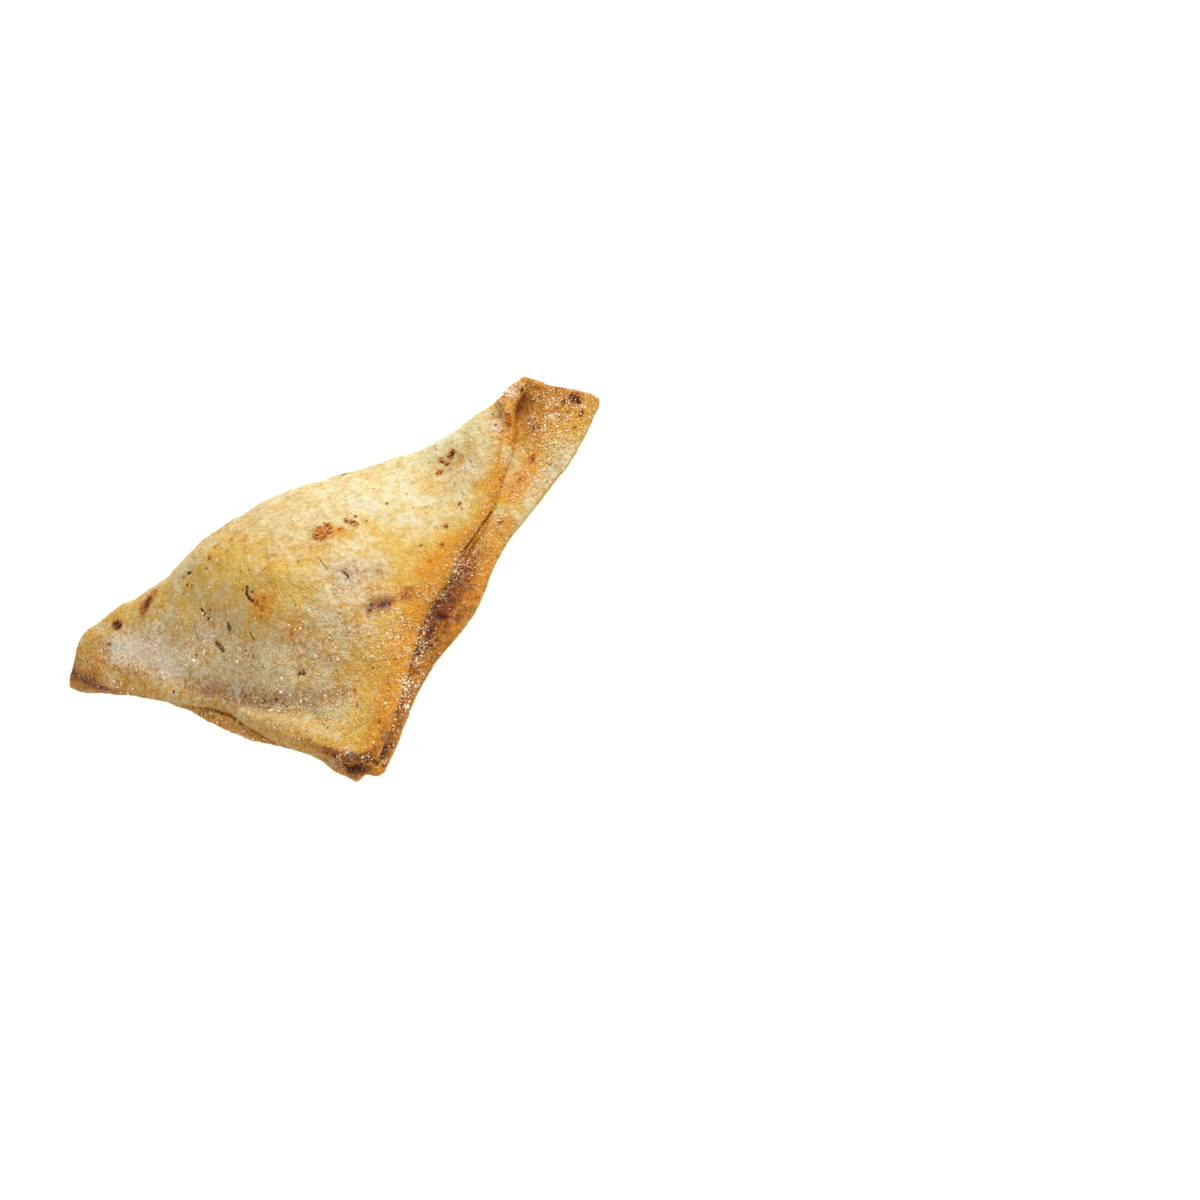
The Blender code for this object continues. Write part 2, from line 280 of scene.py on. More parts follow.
class Rib:
    """One closed cross-section, at station t along the cut edges."""

    def __init__(self, t):
        self.fold = fold_point(t)
        edge = edge_point(t)
        self.length = np.linalg.norm(edge - self.fold)
        self.way = (edge - self.fold) / self.length
        self.top_end = self.length - at(t, LIP) - ragged(t, 3.0)
        self.loop = at(t, LOOP)
        self.mouth = max(SEAM_LEAST, at(t, SEAM_MOUTH))
        self.seam_depth = max(SEAM_LEAST, at(t, SEAM_DEPTH))
        self.fill = at(t, SEAM_FILL)
        self.face = at(t, FACE)
        self.fall = at(t, FACE_FALL)
        left, right = LEG * (1.0 + t), LEG * (1.0 - t)
        ends = round_rise(left / LEFT_END_ROUND) * round_rise(right / RIGHT_END_ROUND)
        self.closing = max(END_LEAST, ends)
        self.nose = LEFT_NOSE if t < 0 else RIGHT_NOSE
        self.left_bend = LEFT_END_BEND * smooth(1.0 - left / END_BEND_REACH)
        self.right_bend = RIGHT_END_BEND * smooth(1.0 - right / END_BEND_REACH)
        self.pocket = smooth((t - POCKET_START) / DEEPENING) * smooth((right - POCKET_WALL) / POCKET_WALL)

    def plan(self, q):
        """Plan coordinates a and b at distance q from the fold."""
        points = self.fold + np.outer(q, self.way)
        share = q / self.length
        out_right = self.right_bend * bowed(share, RIGHT_END_PEAK)
        return points[:, 0] + out_right, points[:, 1] + self.left_bend * bowed(share, LEFT_END_PEAK)

    def from_fold(self, q):
        """Distance inside the fold line, square to it."""
        return -q * (self.way @ OUTWARD)

    def low(self, q):
        """Height of the underside at distance q."""
        flat = underside(*self.plan(q))
        return flat + self.loop / 2 * (1.0 - round_rise(self.from_fold(q) / (self.loop / 2)))

    def high(self, q):
        """Height of the top surface at distance q."""
        a, b = self.plan(q)
        inside = self.from_fold(q)
        closing = smooth((self.top_end - q) / LOOP_CLOSING) * (1.0 - smooth(inside / LOOP_REACH))
        stack = SHUT + (self.loop - SHUT) * np.maximum(closing, self.pocket)
        rounded = self.loop / 2 + (stack - self.loop / 2) * round_rise(inside / (self.loop / 2))
        return underside(a, b) + rounded + bulge(a, b, inside) - self.fallen(self.top_end - q)

    def fallen(self, inside):
        return edge_fall(inside, self.face, self.fall)

    def swollen(self, q):
        return self.fill * hump(q, self.top_end, SEAM_FILL_REACH)

    def gap(self, v):
        """Distances and heights of the gap's floor and ceiling, from its mouth, v = 0, to its end, v = 1."""
        mouth_end = min(self.top_end, self.length)
        deep = mouth_end - FOLD_WALL
        depth = self.seam_depth + (deep - self.seam_depth) * self.pocket
        inner_end = mouth_end - min(depth, deep)
        floor_q = mouth_end + (inner_end - mouth_end) * v
        ceiling_q = self.top_end + (inner_end - self.top_end) * v
        ceiling = self.high(ceiling_q) + self.fallen(self.top_end - ceiling_q) - DOUGH
        floor = self.low(floor_q) + DOUGH + self.swollen(floor_q)
        room = np.maximum((ceiling - floor) / 2, 0.1 * self.mouth)
        mouth = self.mouth / 2
        half = np.minimum(mouth + (room - mouth) * self.pocket, room) * np.sqrt(1.0 - v**2)
        middle = np.maximum((ceiling + floor) / 2, floor)
        return (floor_q, middle - half), (ceiling_q, middle + half)

    def outline(self):
        """Each point's plan place and height, and how far it is inside its layer's edge, beyond the upper
        layer's edge, and inside the fold."""
        turn = np.linspace(0.0, pi / 2, UNDER_POINTS + 1)
        under_q = self.length * (1.0 - np.cos(turn))[::-1]
        turn = np.linspace(0.0, pi, TOP_POINTS + 1)[1:]
        top_q = self.top_end * (0.5 * (1.0 - np.cos(turn)) / 2 + 0.5 * turn / pi)
        (floor_q, floor), (ceiling_q, ceiling) = self.gap(np.linspace(0.0, 1.0, GAP_POINTS))
        turn = np.linspace(0.0, pi / 2, LIP_POINTS + 1)[1:]
        lip_q = floor_q[0] + (self.length - floor_q[0]) * np.sin(turn)
        cut = edge_fall(self.length - lip_q, LIP_EDGE, LIP_EDGE_FALL)
        lip = self.low(lip_q) + DOUGH + self.swollen(lip_q) - cut
        q = np.concatenate((under_q, top_q, ceiling_q, floor_q[-2::-1], lip_q))
        z = np.concatenate((self.low(under_q), self.high(top_q), ceiling, floor[-2::-1], lip))
        end = np.concatenate((
            np.full(len(under_q), self.length), np.full(len(top_q) + len(ceiling_q), self.top_end),
            np.full(len(floor) - 1 + len(lip_q), self.length),
        ))
        a, b = self.plan(q)
        middle = underside(a, b) + self.nose
        z = middle + (z - middle) * self.closing
        return np.column_stack((a, b, z, end - q, q - self.top_end, self.from_fold(q)))


# The stretches of a rib's outline, as the layers that its points belong to
UNDER, TOP, CEILING, FLOOR, LIP_TOP = range(5)
LAYER = np.repeat(
    (UNDER, TOP, CEILING, FLOOR, LIP_TOP),
    (UNDER_POINTS + 1, TOP_POINTS, GAP_POINTS, GAP_POINTS - 1, LIP_POINTS),
)


def in_world(points):
    """Turns the plan so that the fold runs along X, and sets the pastry where the solid is."""
    a, b, z = points[..., 0], points[..., 1], points[..., 2]
    return np.stack(((a - b) / sqrt(2), (a + b) / sqrt(2) + CORNER_Y, z - z.min()), axis=-1)


def stations():
    """Stations of the ribs, closer together where the two ends round off."""
    turns = 1.0 - np.cos(pi / 2 * np.arange(END_RIBS) / END_RIBS)
    left, right = LEFT_END_ROUND / LEG, RIGHT_END_ROUND / LEG
    middle = np.linspace(-1.0 + left, 1.0 - right, RIBS)
    return np.concatenate((-1.0 + left * turns, middle, (1.0 - right * turns)[::-1]))


# Stretches of the edges: the station where each starts, and over how many stations it comes in
RIGHT_EDGE = (0.01, 0.08)
TAIL = (0.74, 0.1)  # the right tip, past the bulge
GROOVE = (0.78, 0.03)  # the smooth groove under that tip's rolled edge
GROOVE_END = (3.2, 2.5)  # the same for where it ends, in millimetres from the tip's end
GROOVE_LINE = (0.5, 2.2)  # how far beyond the upper layer's edge its middle is, and its width


class Form:
    """The fine form as rings of points, with what each point is near to, in millimetres."""

    def __init__(self):
        places = stations()
        ribs = [Rib(t) for t in places]
        outlines = np.array([rib.outline() for rib in ribs])
        self.points = in_world(outlines)
        self.a, self.b, _, self.inside, self.beyond, self.from_fold = np.moveaxis(outlines / MM, -1, 0)
        self.t, self.layer, self.lip_width, self.face, self.closing = (
            np.broadcast_to(values, self.a.shape) for values in (
                places[:, None], LAYER, self.beyond[:, -1:],
                np.array([[rib.face / MM] for rib in ribs]), np.array([[rib.closing] for rib in ribs]),
            )
        )
        self.top = self.layer == TOP
        self.lip = self.layer == LIP_TOP
        self.right = rise(self.t, *RIGHT_EDGE)
        self.tail = rise(self.t, *TAIL)
        self.across = np.clip(self.beyond / np.maximum(self.lip_width, 1.0), 0.0, 1.0)
        hollow = self.lip * hump(self.beyond, *GROOVE_LINE) + np.isin(self.layer, (FLOOR, CEILING))
        self.groove = rise(self.t, *GROOVE) * rise(LEG / MM - self.a, *GROOVE_END) * hollow
        self.normals = self.outward_normals()

    def outward_normals(self):
        """Unit normals, from the form's own points."""
        round_ = np.roll(self.points, -1, axis=1) - np.roll(self.points, 1, axis=1)
        along = np.gradient(self.points, axis=0)
        normals = np.cross(round_, along)
        normals /= np.maximum(np.linalg.norm(normals, axis=2, keepdims=True), 1e-12)
        return normals if normals[self.top][:, 2].mean() > 0 else -normals

    def area(self):
        """About how much surface each point stands for."""
        across = np.linalg.norm(np.roll(self.points, -1, axis=1) - self.points, axis=2)
        along = np.linalg.norm(np.gradient(self.points, axis=0), axis=2)
        return across * along


# ---- The camera, which also says where a pixel of the photograph lies on the crust ----

FRAME_PIXELS = 1200
SENSOR = 36.0
LENS = 138.0
CAMERA_AZIMUTH, CAMERA_ELEVATION, CAMERA_ROLL = radians(22.55), radians(42.54), radians(-44.22)
CAMERA_DISTANCE = 0.9617
AIM = Vector((0.0, 0.0, 0.010))  # this point of the pastry
AIM_PIXEL = (332.5, 610.7)  # lands on this pixel of the frame


def camera_matrix():
    """The camera's place, turned so that the aim point lands on its pixel."""
    back = Vector((
        sin(CAMERA_AZIMUTH) * cos(CAMERA_ELEVATION),
        -cos(CAMERA_AZIMUTH) * cos(CAMERA_ELEVATION),
        sin(CAMERA_ELEVATION),
    ))
    right = Vector((cos(CAMERA_AZIMUTH), sin(CAMERA_AZIMUTH), 0.0))
    turn = Matrix((right, back.cross(right), back)).transposed() @ Matrix.Rotation(CAMERA_ROLL, 3, "Z")
    scale = SENSOR / FRAME_PIXELS / LENS
    across, down = (pixel - FRAME_PIXELS / 2 for pixel in AIM_PIXEL)
    ray = Vector((across * scale, -down * scale, -1.0))
    turn = turn @ Vector((0.0, 0.0, -1.0)).rotation_difference(ray).to_matrix().inverted()
    return Matrix.Translation(AIM + back * CAMERA_DISTANCE) @ turn.to_4x4()


def pixels_of(points):
    """Pixels where world points land, and their depths."""
    view = np.array(camera_matrix().inverted())
    local = points @ view[:3, :3].T + view[:3, 3]
    scale = LENS / SENSOR * FRAME_PIXELS
    across = FRAME_PIXELS / 2 + scale * local[..., 0] / -local[..., 2]
    down = FRAME_PIXELS / 2 - scale * local[..., 1] / -local[..., 2]
    return np.stack((across, down), axis=-1), -local[..., 2]


class Crust:
    """Finds the form's points by the pixels of the photograph where they are seen."""

    REACH = 2.5  # pixels round a mark's pixel in which its point is looked for

    def __init__(self, form):
        self.form = form
        self.points = form.points.reshape(-1, 3)
        self.pixels, depth = pixels_of(self.points)
        self.depth = np.where((form.top | form.lip).reshape(-1), depth, np.inf)

    def point_at(self, pixel):
        """The point that is seen at that pixel."""
        off = np.abs(self.pixels - pixel).max(axis=1)
        near = np.where(off < self.REACH, self.depth + MM * off, np.inf)
        return self.points[near.argmin()]

    def strokes(self, marks):
        """1 along each mark, 0.5 at its radius, and fading beyond."""
        best = np.zeros(len(self.points))
        for radius, lines in marks.items():
            for line in lines:
                ends = [self.point_at(pixel) for pixel in np.reshape(line, (-1, 2))]
                for start, end in zip(ends, ends[1:] or ends):
                    way = end - start
                    share = np.clip((self.points - start) @ way / max(way @ way, 1e-12), 0.0, 1.0)
                    distance = np.linalg.norm(self.points - start - share[:, None] * way, axis=1)
                    best = np.maximum(best, faded(distance, radius * MM))
        return best.reshape(self.form.a.shape)

    def patches(self, marks):
        """The sum of soft patches at each point."""
        total = np.zeros(len(self.points))
        for x, y, radius, amount in marks:
            distance = np.linalg.norm(self.points - self.point_at((x, y)), axis=1)
            total += amount * faded(distance, radius * MM)
        return total.reshape(self.form.a.shape)


# Marks on the crust, by radius in millimetres: for each mark, the x and y of one or more pixels of the
# photograph that it runs through
SCORCHES = {  # black or purple-brown burnt spots
    1: ((114, 623, 119, 626),),
    0.9: ((573, 398, 579, 402),),
    0.85: ((148, 607, 151, 601),),
    0.75: ((440, 616, 446, 619),),
    0.55: ((225, 625, 227, 629), (371, 604)),
    0.5: (
        (565, 403, 567, 406), (524, 391), (298, 673, 303, 671), (262, 701),
        (215, 643, 219, 646, 222, 651), (370, 611),
    ),
    0.45: ((534, 428, 538, 426), (430, 631, 433, 634), (450, 455, 453, 454), (445, 524), (404, 706)),
    0.4: (
        (561, 421), (303, 674), (427, 648, 431, 646), (442, 461), (276, 700),
        (334, 756, 345, 766, 352, 768), (356, 768, 366, 764), (372, 761, 377, 762),
    ),
    0.35: (
        (581, 417, 583, 413), (534, 461), (436, 640), (447, 463), (421, 544), (174, 692),
        (199, 610, 203, 614, 207, 619), (248, 587, 246, 593, 249, 599, 253, 602), (186, 573, 188, 572),
        (383, 766),
    ),
    0.3: (
        (540, 443), (153, 597), (454, 452), (252, 592), (182, 577), (339, 473, 345, 473), (330, 528),
        (495, 425),
    ),
    0.25: (
        (492, 511, 486, 520, 478, 531), (440, 472), (294, 604), (278, 546), (298, 561),
        (377, 606, 383, 604, 390, 604), (366, 606), (343, 694), (342, 571, 345, 574, 349, 577),
        (377, 571), (336, 760), (377, 758), (345, 521), (353, 522), (240, 692), (86, 662), (242, 696),
        (493, 413), (205, 568),
    ),
    0.2: (
        (478, 531, 470, 543, 463, 551), (461, 492), (290, 517), (324, 523), (351, 512), (247, 703),
        (287, 746), (165, 612), (325, 719), (358, 724),
    ),
    0.15: ((430, 492), (425, 512), (345, 500), (245, 650), (310, 690), (330, 660), (400, 570)),
    0.14: ((250, 632, 254, 638),),
    0.13: ((318, 557, 322, 563, 327, 568),),
    0.12: ((193, 624, 194, 632, 197, 640),),
}
BLISTERS = {  # granular orange-red to brown, slightly raised
    2.1: ((322, 533),),
    1.5: ((146, 609, 150, 603, 154, 595),),
    1.3: ((576, 400),),
    1.1: ((117, 624),),
    1: ((533, 459),),
    0.9: ((328, 527),),
    0.8: ((450, 456), (566, 404), (536, 427), (523, 481)),
    0.7: ((317, 537), (351, 521, 355, 524), (256, 603), (439, 472), (440, 460)),
    0.6: ((346, 520), (341, 530), (445, 524), (453, 452), (556, 409)),
    0.5: (
        (314, 531), (262, 609), (442, 543), (446, 463), (380, 720), (502, 524), (429, 560), (210, 557),
        (540, 395), (478, 597), (508, 416, 509, 426),
    ),
    0.45: ((230, 538),),
    0.4: (
        (355, 516), (535, 388), (540, 388), (185, 584), (214, 545), (458, 502), (461, 507), (455, 587),
        (447, 621), (515, 492), (262, 616), (291, 633), (174, 692), (255, 656), (391, 603), (575, 430),
        (347, 766, 366, 762), (500, 478),
    ),
    0.35: ((387, 504), (443, 602), (460, 578), (275, 695), (209, 609), (197, 655)),
    0.3: ((354, 689), (357, 704), (283, 703), (358, 622), (226, 604), (396, 659)),
}
# Soft patches on the crust: the x and y of a pixel, the radius in millimetres, and how strong the patch is
BAKED = (  # more baked where positive, paler where negative; the darker patches in the valley inside the left edge and in the hollow beside the right rim are partly painted shade
    (420, 490, 11, -0.16), (350, 490, 9, -0.1), (300, 510, 7, -0.05), (430, 564, 3.5, 0.24),
    (445, 540, 4, 0.06), (412, 596, 4, 0.12), (275, 520, 7, 0.03), (386, 600, 2.4, 0.16),
    (387, 603, 0.9, 0.5), (380, 605, 0.9, 0.45), (270, 557, 1.4, 0.14), (267, 603, 3, 0.12),
    (397, 645, 7, 0.12), (387, 690, 6, 0.08), (325, 545, 4, 0.04), (260, 609, 3, 0.18),
    (290, 632, 3, 0.12), (215, 622, 7, 0.05), (205, 572, 6, 0.05), (150, 605, 5, 0.16),
    (112, 622, 5, 0.16), (83, 660, 5, 0.1), (75, 674, 1.5, 0.25), (99, 685, 1.2, 0.15),
    (120, 684, 4, -0.04), (165, 692, 3, 0.12), (215, 692, 2, 0.1), (250, 698, 2, 0.1),
    (452, 463, 4, 0.16), (464, 474, 3, 0.1), (482, 455, 4, -0.03), (503, 402, 3, 0.1),
    (345, 747, 3, 0.12), (370, 735, 4, 0.06), (235, 545, 5, 0.04), (400, 560, 3, 0.06),
    (208, 688, 1.8, 0.25), (336, 757, 1.2, 0.45), (345, 764, 1.3, 0.45), (355, 767, 1.3, 0.45),
    (366, 764, 1.5, 0.45), (375, 757, 1.6, 0.35), (383, 742, 2, 0.22), (391, 722, 1.8, 0.14),
    (218, 670, 6, -0.02), (170, 632, 5, 0.07), (285, 652, 6, 0.05), (345, 635, 5, 0.07),
    (560, 400, 6, 0.06), (545, 478, 6, -0.1), (508, 432, 3, 0.08), (562, 455, 4, -0.08),
    (440, 600, 4, 0.06), (406, 592, 3.2, 0.26), (368, 680, 5, 0.16), (270, 595, 5, 0.05),
    (180, 600, 5, 0.06), (105, 665, 5, 0.08),
)
GOLDEN = (
    (270, 582, 6, 0.85), (300, 600, 5, 0.4), (215, 570, 6, 0.7), (245, 548, 5, 0.5), (185, 598, 4, 0.5),
    (240, 595, 5, 0.35), (310, 560, 4, 0.25), (163, 592, 3, 0.55), (440, 492, 7, 0.1),
    (400, 540, 5, 0.55), (375, 520, 3, 0.3), (345, 545, 3, 0.2), (420, 565, 5, 0.5), (484, 495, 5, 0.7),
    (130, 608, 4, 0.5), (95, 635, 4, 0.15), (570, 410, 6, 0.4), (552, 478, 4, 0.3), (470, 525, 4, 0.35),
    (530, 490, 5, 0.35), (545, 465, 3, 0.2), (340, 735, 5, 0.35), (372, 700, 5, 0.65),
    (380, 650, 6, 0.65), (402, 600, 4, 0.5), (360, 735, 4, 0.45), (450, 545, 5, 0.5), (385, 612, 3, 0.3),
    (555, 425, 4, 0.4), (568, 438, 3, 0.4), (120, 612, 4, 0.25), (140, 680, 4, 0.2),
)
ORANGED = (
    (430, 562, 3, 0.65), (440, 628, 2, 0.15), (545, 475, 6, 0.26), (545, 400, 6, 0.15),
    (508, 432, 2.5, 0.6), (225, 719, 3, 0.5), (250, 731, 3, 0.5), (275, 741, 3, 0.3), (438, 541, 4, 0.2),
    (397, 635, 5, 0.4), (392, 675, 6, 0.45), (384, 712, 4, 0.45), (374, 740, 3, 0.4),
    (260, 604, 2.4, 0.9), (268, 596, 2, 0.4), (292, 631, 2.4, 0.75), (185, 586, 1.5, 0.6),
    (112, 618, 3, 0.5), (140, 604, 3, 0.5), (165, 594, 3, 0.3), (215, 600, 3, 0.1), (341, 531, 1.5, 0.6),
    (376, 767, 1.5, 0.9), (524, 480, 2.2, 1.1), (503, 524, 2.5, 0.9), (513, 496, 2.2, 0.95),
    (533, 459, 2.2, 0.95), (487, 478, 4, 0.4), (324, 534, 3, 0.3), (570, 405, 4, 0.3),
    (230, 538, 1.2, 0.7), (324, 545, 2.5, 0.2), (455, 505, 1.2, 0.45), (475, 485, 1.2, 0.35),
    (560, 408, 5, 0.55), (536, 390, 2.5, 0.5), (545, 430, 4, 0.3), (576, 425, 4, 0.25),
    (342, 735, 4, 0.15), (267, 568, 1.5, 0.6), (243, 539, 1.2, 0.8), (285, 503, 1, 0.6),
    (214, 545, 1.4, 0.6), (209, 557, 1.2, 0.7), (508, 425, 2, 0.5), (200, 655, 2, 0.5),
    (255, 656, 2, 0.4), (358, 620, 1.5, 0.3), (172, 633, 2, 0.5), (185, 645, 2.5, 0.4),
    (215, 628, 3, 0.3), (203, 620, 2, 0.4), (222, 648, 2, 0.3), (240, 640, 2.5, 0.3), (300, 645, 2, 0.3),
    (330, 652, 2, 0.3), (228, 668, 2.5, 0.3), (390, 552, 1.5, 0.3), (480, 545, 3, 0.3),
)
GREYED_AND_SHADED = (  # greyer, duller crust where the filling shows through, and painted shade in the valley, the groove under the right tip's roll and on parts of the dome's slopes
    (444, 604, 2.2, 0.2), (300, 672, 8, 0.26), (235, 665, 8, 0.26), (165, 650, 8, 0.2),
    (340, 672, 5, 0.15), (345, 600, 6, 0.08), (330, 630, 6, 0.12), (242, 699, 2.4, 0.45),
    (206, 689, 2, 0.5), (224, 694, 2, 0.45), (263, 702, 2.2, 0.45), (285, 702, 2.2, 0.35),
    (315, 698, 2.4, 0.4), (188, 687, 2, 0.35), (335, 694, 2, 0.3), (383, 603, 2, 0.5),
    (394, 596, 2.5, 0.15), (371, 608, 1.6, 0.5), (456, 466, 3, 0.4), (350, 573, 2.4, 0.6),
    (378, 570, 1.6, 0.5), (416, 549, 1.2, 0.4), (497, 415, 1.6, 0.45), (345, 694, 1.6, 0.3),
    (354, 727, 1.6, 0.3), (206, 614, 1.8, 0.4), (227, 627, 1.6, 0.35), (250, 594, 1, 0.3),
    (342, 474, 1.6, 0.2), (183, 575, 1.2, 0.4), (270, 555, 1.5, 0.35), (470, 484, 2, 0.2),
    (88, 655, 3.5, 0.3), (308, 615, 3, 0.15), (200, 640, 4, 0.15), (285, 525, 9, 0.22),
    (375, 550, 6, 0.12), (345, 585, 6, 0.1), (410, 530, 4, 0.12), (310, 555, 6, 0.08), (350, 500, 6, 0.1),
    (230, 560, 5, 0.1), (440, 520, 3, 0.1),
)
FLOURED = (
    (128, 646, 4, 0.65), (148, 655, 4, 0.55), (110, 642, 2.5, 0.3), (172, 666, 4, 0.42),
    (205, 676, 5, 0.28), (497, 425, 2.2, 0.4), (500, 436, 2, 0.15), (510, 394, 1.6, 0.5),
    (355, 560, 6, 0.12), (335, 610, 7, 0.16), (440, 500, 6, 0.08), (468, 465, 1.6, 0.6),
    (250, 680, 5, 0.16), (235, 698, 3, 0.24), (280, 702, 3, 0.16), (436, 523, 1.4, 0.4),
    (380, 585, 3, 0.14), (348, 753, 1.2, 0.6), (332, 764, 1.2, 0.5), (165, 670, 3, 0.3),
    (112, 655, 3, 0.35), (190, 655, 4, 0.2), (300, 640, 6, 0.12), (160, 640, 4, 0.25),
    (290, 660, 5, 0.12), (340, 520, 5, 0.1), (343, 596, 6, 0.16), (208, 634, 2.6, 0.35),
    (236, 642, 2.5, 0.25), (545, 487, 4, 0.4), (560, 467, 2.5, 0.4), (519, 386, 2.5, 0.25),
    (345, 577, 3, 0.2),
)
GRAINY = (  # where coarse pale grains are baked on thickly
    (532, 418, 2, 1), (548, 420, 1.8, 0.7), (541, 396, 1.8, 0.7), (558, 416, 1.5, 0.5),
    (520, 398, 1.5, 0.2), (570, 405, 3, 0.4), (550, 440, 4, 0.4), (507, 392, 2, 0.3),
    (500, 402, 1.5, 0.3), (558, 398, 1.5, 0.5), (577, 410, 1.5, 0.4), (560, 450, 3, 0.3),
    (540, 470, 3, 0.2), (462, 565, 2.4, 0.8), (455, 578, 2, 0.5), (432, 596, 1.5, 0.3),
    (424, 627, 1.8, 0.5), (422, 648, 2, 0.6), (418, 662, 1.8, 0.6), (412, 682, 1.8, 0.6),
    (404, 698, 1.8, 0.6), (385, 650, 3, 0.4), (395, 625, 3, 0.5), (360, 640, 4, 0.4),
    (340, 762, 1.5, 0.4), (368, 757, 1.8, 0.2), (332, 754, 1.5, 0.3), (215, 640, 3, 0.6),
    (205, 618, 2, 0.5), (190, 650, 4, 0.4), (240, 650, 4, 0.4), (260, 690, 4, 0.4), (320, 715, 4, 0.4),
    (285, 712, 3, 0.4), (110, 685, 1.6, 0.6), (115, 680, 1.6, 0.4), (430, 590, 2, 0.5),
    (455, 520, 1.6, 0.4), (300, 650, 6, 0.2), (345, 700, 4, 0.3), (500, 525, 2, 0.3),
    (515, 500, 2.5, 0.3),
)
# How far the lower layer's lip is baked, by station, and how orange it is at its outer edge
LIP_BAKED = {
    -1: 0.5, -0.8: 0.54, -0.6: 0.54, -0.45: 0.54, -0.2: 0.5, -0.06: 0.5, 0: 0.64, 0.1: 0.68, 0.2: 0.72,
    0.28: 0.83, 0.44: 0.76, 0.52: 0.64, 0.62: 0.36, 0.74: 0.3, 0.8: 0.48, 0.86: 0.54, 1: 0.6,
}
OUTER_ORANGE = {
    -1: 0, -0.84: 0, -0.78: 0.5, -0.14: 0.5, -0.08: 0.15, 0.12: 0.15, 0.25: 0.3, 0.4: 0.3, 0.5: 0.7,
    0.58: 0.4, 0.66: 0, 1: 0,
}
# How far the upper layer's cut face is baked, and how orange the crust is beside it
FACE_BAKED = {
    -1: 0.5, -0.9: 0.5, -0.7: 0.48, -0.55: 0.42, -0.22: 0.46, -0.12: 0.7, -0.06: 0.75, 0.01: 0.76,
    0.04: 0.72, 0.1: 0.7, 0.13: 0.48, 0.45: 0.48, 0.6: 0.48, 0.69: 0.42, 0.72: 0.1, 0.765: 0.1,
    0.79: 0.56, 0.93: 0.6, 1: 0.56,
}
EDGE_ORANGE = {
    -1: 0.2, -0.1: 0.1, 0.05: 0.5, 0.14: 0.9, 0.45: 0.8, 0.6: 0.55, 0.74: 0.3, 0.8: 0, 1: 0,
}


# ---- Masks and relief ----

# More stretches of the edges, as above
ROLLED = (0.765, 0.03)  # where the right tip's upper edge is rolled
ROLL_STANDS = (0.78, 0.05)  # where that roll stands out
ROLL_PALES = (0.91, 0.04)  # where its cut face is no longer orange
GRAINS_START = (-0.9, 0.06)  # past the left end, which is nearly bare
LEFT_EDGE_START = (-0.78, 0.2)
LEFT_EDGE_STOP = (-0.14, 0.08)
LEFT_TIP = (0.93, 0.07)  # this one and the next count stations towards the left tip
LEFT_RIM_END = (0.88, 0.04)
# Places on the edges: the station of the middle, and the width
BROWN_BAND = (0.36, 0.13)  # the wide brown lip
CREST = (0.22, 0.07)  # where that band starts, thick with grains
SMOOTH_FLAP = (0.70, 0.11)
SMOOTH_CORNER = (0.02, 0.12)
NARROW_FACE = (0.03, 0.08)  # the upper layer's cut face beside the corner
DARK_CORNER = (0.0, 0.085)
# The valley inside the left edge, where shade is painted into its crease, in millimetres
VALLEY_IN = 5.2  # distance from that edge
VALLEY_SLANT = 0.26  # how much farther in it goes for each millimetre nearer to the corner
VALLEY_SLANT_FROM = 38.0
VALLEY_WIDTH = 1.8
VALLEY_ENDS = (14.0, 60.0)
VALLEY_FADE = 8.0
SHOULDER = 2.6  # how far from a cut face the crust beside it is browned


def lumps(points, size, seed, octaves=2):
    """Smooth unevenness of about -1 to 1 at the points, in lumps of that size in millimetres."""
    shift = Vector((3.7 * seed, 1.9 * seed, 5.3 * seed))
    flat = points.reshape(-1, 3) / (size * MM)
    values = [noise.fractal(Vector(p) + shift, 1.0, 2.0, octaves) for p in flat]
    return 1.6 * np.array(values).reshape(points.shape[:-1])


def by_station(t, table):
    return np.interp(t, list(table), list(table.values()))


def valley_shade_of(form):
    """1 in the valley inside the left edge, where shade is painted into the crust."""
    start, stop = VALLEY_ENDS
    middle = VALLEY_IN + VALLEY_SLANT * np.maximum(0.0, VALLEY_SLANT_FROM - form.b)
    ends = smooth((form.b - start) / VALLEY_FADE) * smooth((stop - form.b) / VALLEY_FADE)
    return form.top * hump(form.a, middle, VALLEY_WIDTH) * ends


